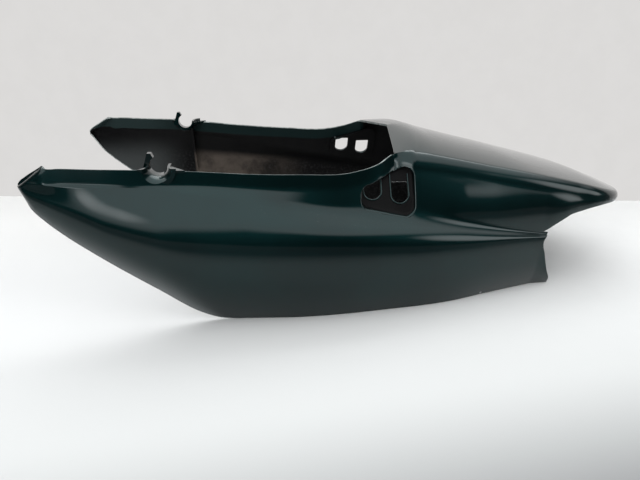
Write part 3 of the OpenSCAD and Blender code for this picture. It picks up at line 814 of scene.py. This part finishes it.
# %% [markdown]
# ## Joining and cutting
# Boolean modifiers join the blocks and collars to the shell and cut the hollows, the slots
# and the tube's way. They run in the order in which a mould maker would think of them:
# first what is added, then what is cleared. The tools are deleted afterwards.

# %% Boolean steps
def boolean(target, tools, operation):
    """Join or cut all tools in one step, keep the result as a mesh, delete the tools."""
    group = bpy.data.collections.new("tools")
    bpy.context.scene.collection.children.link(group)
    for tool in tools:
        bpy.context.collection.objects.unlink(tool)
        group.objects.link(tool)
    step = target.modifiers.new(operation.lower(), "BOOLEAN")
    step.operation, step.solver = operation, "MANIFOLD"
    step.operand_type, step.collection = "COLLECTION", group
    graph = bpy.context.evaluated_depsgraph_get()
    result = bpy.data.meshes.new_from_object(target.evaluated_get(graph))
    target.modifiers.remove(step)
    target.data = result
    for tool in tools:
        bpy.data.objects.remove(tool)
    bpy.data.collections.remove(group)
    print(operation.lower(), "leaves", len(result.polygons), "faces")


# %% What is added and what is cleared
SIDES = (-1, 1)
boolean(shell, [pocket_block(side) for side in SIDES], "UNION")
boolean(shell, [pocket_hollow(side) for side in SIDES], "DIFFERENCE")
boolean(shell, [slot_cut(side, *slot) for side in SIDES for slot in SLOT_FEET], "DIFFERENCE")
boolean(shell, [saddle_collar(side) for side in SIDES], "UNION")
boolean(shell, [piece for side in SIDES for piece in saddle_trim(side)], "UNION")
boolean(shell, [saddle_bore(side) for side in SIDES], "DIFFERENCE")

# %% [markdown]
# ## Shading the surface
# The long forms must shade smoothly and the cut edges must stay crisp. Edges that turn by
# more than a set angle are marked sharp, and every face is set smooth.

# %% Smooth faces and sharp edges
def shade(piece, limit=32):
    """Weld, set every face smooth and mark edges that turn by more than the limit."""
    form = bmesh.new()
    form.from_mesh(piece.data)
    bmesh.ops.remove_doubles(form, verts=form.verts, dist=2e-6)
    for face in form.faces:
        face.smooth = True
    for edge in form.edges:
        edge.smooth = len(edge.link_faces) == 2 and edge.calc_face_angle() < math.radians(limit)
    form.to_mesh(piece.data)
    form.free()


shade(shell)
print("sharp edges", sum(1 for edge in shell.data.edges if edge.use_edge_sharp))

# %% [markdown]
# ## Shader maths as expressions
# One small class wraps a socket, so that a mask reads like a formula.

# %% The socket wrapper
class Value:
    """A shader socket that adds Math nodes when it is used in a formula."""

    def __init__(self, tree, socket):
        self.tree, self.socket = tree, socket

    def node(self, kind, settings=None, **inputs):
        made = self.tree.nodes.new(kind)
        for name, setting in (settings or {}).items():
            setattr(made, name, setting)
        for name, value in inputs.items():
            key = int(name[1:]) if name[0] == "_" else name.replace("_", " ")
            put(self.tree, made.inputs[key], value)
        return made

    def maths(self, operation, *values, clamp=False):
        made = self.tree.nodes.new("ShaderNodeMath")
        made.operation, made.use_clamp = operation, clamp
        for slot, value in zip(made.inputs, values):
            put(self.tree, slot, value)
        return Value(self.tree, made.outputs[0])

    def __add__(self, other):
        return self.maths("ADD", self, other)

    def __sub__(self, other):
        return self.maths("SUBTRACT", self, other)

    def __mul__(self, other):
        return self.maths("MULTIPLY", self, other)

    def __rsub__(self, other):
        return self.maths("SUBTRACT", other, self)

    __radd__, __rmul__ = __add__, __mul__

    def step(self, low, high):
        """0 below low, 1 above high, smooth between."""
        made = self.node("ShaderNodeMapRange", {"interpolation_type": "SMOOTHSTEP"},
                         Value=self, From_Min=low, From_Max=high)
        return Value(self.tree, made.outputs[0])


def put(tree, slot, value):
    if isinstance(value, Value):
        tree.links.new(value.socket, slot)
    elif hasattr(value, "is_output"):
        tree.links.new(value, slot)
    elif slot.type == "RGBA" and len(value) == 3:
        slot.default_value = (*value, 1)
    else:
        slot.default_value = value


class Finish:
    """A material with its own tree and the few moves that the finishes need."""

    def __init__(self, name):
        self.material = bpy.data.materials.get(name) or bpy.data.materials.new(name)
        self.material.use_nodes = True
        self.tree = self.material.node_tree
        self.shader = self.tree.nodes["Principled BSDF"]
        self.maker = Value(self.tree, None)
        self.place = self.maker.node("ShaderNodeTexCoord").outputs["Object"]

    def node(self, kind, settings=None, **inputs):
        return self.maker.node(kind, settings, **inputs)

    def noise(self, scale, detail=4, rough=0.55, stretch=None):
        where = self.place
        if stretch:
            where = self.node("ShaderNodeMapping", None, Vector=where, Scale=stretch).outputs[0]
        made = self.node("ShaderNodeTexNoise", None, Vector=where, Scale=scale, Detail=detail,
                         Roughness=rough)
        return Value(self.tree, made.outputs["Fac"])

    def blend(self, mask, a, b):
        made = self.node("ShaderNodeMix", {"data_type": "RGBA"}, _0=mask, _6=a, _7=b)
        return made.outputs[2]

    def axis(self, name):
        made = self.node("ShaderNodeSeparateXYZ", None, Vector=self.place)
        return Value(self.tree, made.outputs[name])

    def normal(self, name):
        facing = self.node("ShaderNodeNewGeometry").outputs["Normal"]
        made = self.node("ShaderNodeSeparateXYZ", None, Vector=facing)
        return Value(self.tree, made.outputs[name])

    def attribute(self, name):
        made = self.node("ShaderNodeAttribute", {"attribute_name": name})
        return Value(self.tree, made.outputs["Fac"])

    def bump(self, height, distance, strength=1.0):
        made = self.node("ShaderNodeBump", None, Strength=strength, Distance=distance,
                         Height=height)
        return made.outputs[0]

    def set(self, **inputs):
        for name, value in inputs.items():
            put(self.tree, self.shader.inputs[name.replace("_", " ")], value)
        return self.material

# %% [markdown]
# ## The finishes
# The outside is dark green metallic paint under clear lacquer. The inside is bare black
# plastic with years of brown dust, and its colour also holds painted light: paler below the
# shoulder line and at the front, where more light falls. The cut edges are the same plastic,
# coloured pale grey.

# %% Green metallic paint
DEEP_GREEN, LIGHT_GREEN = (0.0008, 0.0120, 0.0125), (0.0012, 0.0165, 0.0170)
SETTLED, UNDERCOAT, LACQUER_IOR = (0.16, 0.17, 0.17), (0.30, 0.31, 0.31), 1.36
CHIPS = (((0.1629, -0.1355, 0.0042), 0.0022), ((-0.2361, -0.1935, 0.1181), 0.0009),
         ((0.2290, -0.1240, 0.0560), 0.0009), ((0.0320, -0.1800, 0.0210), 0.0008))


def near_spots(f, spots, soft=0.35):
    """Mask of small ragged spots on the surface."""
    ragged = (f.noise(700, 3) - 0.5) * 0.002
    mask = None
    for place, radius in spots:
        away = f.node("ShaderNodeVectorMath", {"operation": "DISTANCE"}, _0=f.place, _1=place)
        distance = Value(f.tree, away.outputs["Value"]) + ragged
        inside = 1 - distance.step(radius * (1 - soft), radius)
        mask = inside if mask is None else mask.maths("MAXIMUM", mask, inside)
    return mask


def paint_finish():
    f = Finish("green_paint")
    flake = f.noise(2600, 1, 0.5)
    cloud = f.noise(9, 3)
    base = f.blend(cloud.step(0.35, 0.7), DEEP_GREEN, LIGHT_GREEN)
    dust = f.noise(420, 2).step(0.66, 0.8) * f.normal("Z").step(0.3, 0.9) * 0.12
    colour = f.blend(dust, base, SETTLED)
    chips = near_spots(f, CHIPS)
    colour = f.blend(chips, colour, UNDERCOAT)
    return f.set(Base_Color=colour, Metallic=(1 - chips) * (1 - dust) * 0.95,
                 Roughness=0.36 + flake * 0.08, Normal=f.bump(flake, 0.00006, 0.35),
                 Coat_Weight=1 - chips, Coat_Roughness=0.04, Coat_IOR=LACQUER_IOR)

# %% Bare plastic
BLACK, BLACK_WORN = (0.0012, 0.0012, 0.0016), (0.0030, 0.0030, 0.0032)
FINE_DUST, PAINTED_LIGHT_GREY, BROWN_DUST_AND_LIGHT = (0.030,) * 3, (0.042, 0.046, 0.046), (0.088, 0.072, 0.060)
MIST_GREEN, MIST_PAINTED_LIGHT = (0.0035, 0.013, 0.013), (0.016, 0.030, 0.030)
RIB_X = (-0.236, -0.231)


def bare_finish():
    """Black plastic with brown dust and painted light: paler below the shoulder line and in front.
    """
    f = Finish("bare_plastic")
    grain = f.noise(900, 3)
    cloud = f.noise(16, 6, 0.65)
    # The brown is dust and painted light at once: it fills the lower inside, where light falls,
    # stops at the shoulder line, where the shade under the panel begins, and fades out towards the
    # rear.
    height = f.axis("Z") + f.axis("X") * 0.095 + cloud * 0.016
    below = 1 - height.step(0.112, 0.128)
    behind_rib = f.axis("X").step(*RIB_X)
    dust = cloud.step(0.20, 0.60) * below * behind_rib * (1 - f.axis("X").step(-0.16, -0.03))
    # Painted light: the lower front of the inside is grey, and the mist on the front of the flange
    # is paler, because more light falls there.
    front = 1 - f.axis("X").step(-0.31, -0.24)
    fine = f.noise(260, 4).step(0.45, 0.75) * below * 0.5
    plain = f.blend(cloud.step(0.3, 0.7), BLACK, BLACK_WORN)
    worn_and_painted_light = f.blend(fine, plain, FINE_DUST)
    worn_and_painted_light = f.blend(front * (1 - f.axis("Z").step(0.12, 0.17)), worn_and_painted_light, PAINTED_LIGHT_GREY)
    dust_and_painted_light = f.blend(dust, worn_and_painted_light, BROWN_DUST_AND_LIGHT)
    sprayed = f.blend(front, MIST_GREEN, MIST_PAINTED_LIGHT)
    colour = f.blend(f.attribute("mist") * 0.85, dust_and_painted_light, sprayed)
    return f.set(Base_Color=colour, Roughness=0.42 + cloud * 0.25, Specular_IOR_Level=0.1,
                 Normal=f.bump(grain, 0.0002, 0.4))

# %% Cut edges
EDGE_DARK, EDGE_PALE = (0.10, 0.12, 0.115), (0.34, 0.37, 0.36)


def edge_finish():
    f = Finish("cut_edge")
    cloud = f.noise(120, 5, 0.6)
    colour = f.blend(cloud.step(0.35, 0.65), EDGE_DARK, EDGE_PALE)
    return f.set(Base_Color=colour, Roughness=0.4 + cloud * 0.2,
                 Normal=f.bump(cloud, 0.0003, 0.3))


paint_finish(), bare_finish(), edge_finish()
for number, finish in enumerate(FINISHES):
    faces = sum(1 for face in shell.data.polygons if face.material_index == number)
    print(finish.name, faces, "faces")

# %% Beads round the slots
beads = bead_path()
run_tree(beads, bead_tree(), Radius=BEAD_H / 1000, Paint=FINISHES[PAINT])

# %% [markdown]
# ## Riding and replacing
# The painted shell stands for the CAD node, which stays hidden for collision.

# %% Tie the shell to the frame
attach(shell, "root")
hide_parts("tail_fairing")
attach(beads, "root")
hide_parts("tail_fairing")

# %% [markdown]
# ## Floor and wall
# The fairing stands on a pale table against a pale wall. Both are plain boards. The table's
# colour holds painted light and shade: it darkens towards the camera and is nearly black far
# in front, a painted dark room, which the upright side mirrors. The wall shows its own colour
# to the camera and in reflections, and is clear when a camera looks from behind it.

# %% The two boards
FLOOR_FRONT, HALF_WIDTH, WALL_HEIGHT, WALL_TURN = -2.2, 3, 0.62, 7.6


def stage_board(name, points):
    mesh = bpy.data.meshes.new(name)
    mesh.from_pydata(points, [], [tuple(range(len(points)))])
    board = bpy.data.objects.new(name, mesh)
    bpy.context.collection.objects.link(board)
    return board


turn = math.radians(WALL_TURN)
along = Vector((math.cos(turn), -math.sin(turn), 0))
wall_at, up = Vector((-0.0036, 0.3324, 0)), Vector((0, 0, WALL_HEIGHT))
left, right = wall_at - along * HALF_WIDTH, wall_at + along * HALF_WIDTH
floor = stage_board("floor", [(-HALF_WIDTH, FLOOR_FRONT, 0), (HALF_WIDTH, FLOOR_FRONT, 0),
                              tuple(right), tuple(left)])
backdrop = stage_board("backdrop", [tuple(left), tuple(right), tuple(right + up),
                                    tuple(left + up)])
print("wall from", tuple(round(v, 2) for v in left), "to", tuple(round(v, 2) for v in right))

# %% The colours of the boards
def floor_finish():
    """Pale table with painted light and shade: brighter at the wall, dimmer at the left and dark
    near the camera.
    """
    f = Finish("table_top")
    cloud = f.noise(30, 4).step(0.3, 0.7)
    depth = f.axis("Y") - f.axis("X") * 0.12
    floor_tone_and_light = f.blend(cloud, (0.86, 0.86, 0.855), (0.845, 0.845, 0.84))
    # Painted light and shade: the table's colour is dimmer at the left, brighter at the wall,
    # darker towards the camera and nearly black far in front, where it stands for a dark room.
    floor_tone_and_light = f.blend(f.axis("X").step(-0.8, 0.5), (0.64, 0.64, 0.64), floor_tone_and_light)
    floor_tone_and_light = f.blend(depth.step(-0.05, 0.33), floor_tone_and_light, (0.83, 0.825, 0.815))
    floor_tone_and_light = f.blend(depth.step(-0.45, 0.0), (0.53, 0.535, 0.53), floor_tone_and_light)
    colour = f.blend(depth.step(-0.62, -0.34), (0.08, 0.08, 0.085), floor_tone_and_light)
    return f.set(Base_Color=colour, Roughness=0.6, Specular_IOR_Level=0.2)


def wall_finish():
    """Warm white wall: plain colour for camera and mirror rays, matt paint for the light."""
    f = Finish("wall_paint")
    cloud = f.noise(25, 6, 0.6).step(0.3, 0.7)
    tone = f.blend(cloud, (0.705, 0.695, 0.685), (0.72, 0.71, 0.70))
    f.set(Base_Color=tone, Roughness=0.8, Specular_IOR_Level=0.1)
    path = f.node("ShaderNodeLightPath").outputs
    camera_ray = Value(f.tree, path["Is Camera Ray"])
    seen = camera_ray.maths("MAXIMUM", camera_ray, path["Is Glossy Ray"])
    back = Value(f.tree, f.node("ShaderNodeNewGeometry").outputs["Backfacing"])
    plain = f.node("ShaderNodeEmission", None, Color=tone, Strength=1.0).outputs[0]
    clear = f.node("ShaderNodeBsdfTransparent").outputs[0]
    wall = f.node("ShaderNodeMixShader", None, _0=seen, _1=f.shader.outputs[0], _2=plain)
    end = f.node("ShaderNodeMixShader", None, _0=back * camera_ray, _1=wall.outputs[0], _2=clear)
    put(f.tree, f.tree.nodes["Material Output"].inputs["Surface"], end.outputs[0])
    return f.material


floor.data.materials.append(floor_finish())
backdrop.data.materials.append(wall_finish())
print(floor.name, floor.active_material.name, backdrop.name, backdrop.active_material.name)

# %% [markdown]
# ## Light
# There is no lamp: the room itself shines. A wide soft ceiling lights the part from above
# and behind, and the room is dark behind the camera. The dark part matters as much as the
# light, because glossy paint shows both. Two small round patches, low at the front left and
# at the right, draw the highlights along the shoulder and the crease of the tail.

# %% Directions of the room
world = bpy.data.worlds.new("room")
bpy.context.scene.world = world
world.use_nodes = True
tree = world.node_tree
sky = Value(tree, None)
direction = sky.node("ShaderNodeTexCoord").outputs["Generated"]
ways = sky.node("ShaderNodeSeparateXYZ", None, Vector=direction).outputs
x, y, z = (Value(tree, ways[name]) for name in "XYZ")


def glow(toward_it, core, edge, strength):
    """Round patch of light in the direction of a vector, bright inside core degrees."""
    aim = Vector(toward_it).normalized()
    near = x * aim.x + y * aim.y + z * aim.z
    return near.step(math.cos(math.radians(edge)), math.cos(math.radians(core))) * strength


print("world nodes", len(tree.nodes))

# %% Ceiling, strip behind, and patches
CEILING, ROOM, STRIP, LEFT_PATCH, RIGHT_PATCH, SEEN_ROOM = 1.75, 0.03, 2.2, 4.0, 3.6, 0.72
lean = (0.25 - x).step(0.0, 0.5) * (0 - y).step(0.3, 0.7) * 0.4 - x.step(0.2, 0.7) * 0.06
level = (z + lean).step(0.48, 0.64) * CEILING + ROOM
level = level + y.step(0.30, 0.45) * z.step(0.55, 0.65) * STRIP
level = level + glow((-0.31, -0.88, 0.36), 4, 10, LEFT_PATCH)
level = level + glow((0.80, -0.46, 0.36), 4, 15, RIGHT_PATCH)
camera_ray = Value(tree, sky.node("ShaderNodeLightPath").outputs["Is Camera Ray"])
background = tree.nodes["Background"].inputs
put(tree, background["Color"], (0.98, 1.0, 1.01))
put(tree, background["Strength"], level * (1 - camera_ray) + camera_ray * SEEN_ROOM)
print("world nodes", len(tree.nodes))
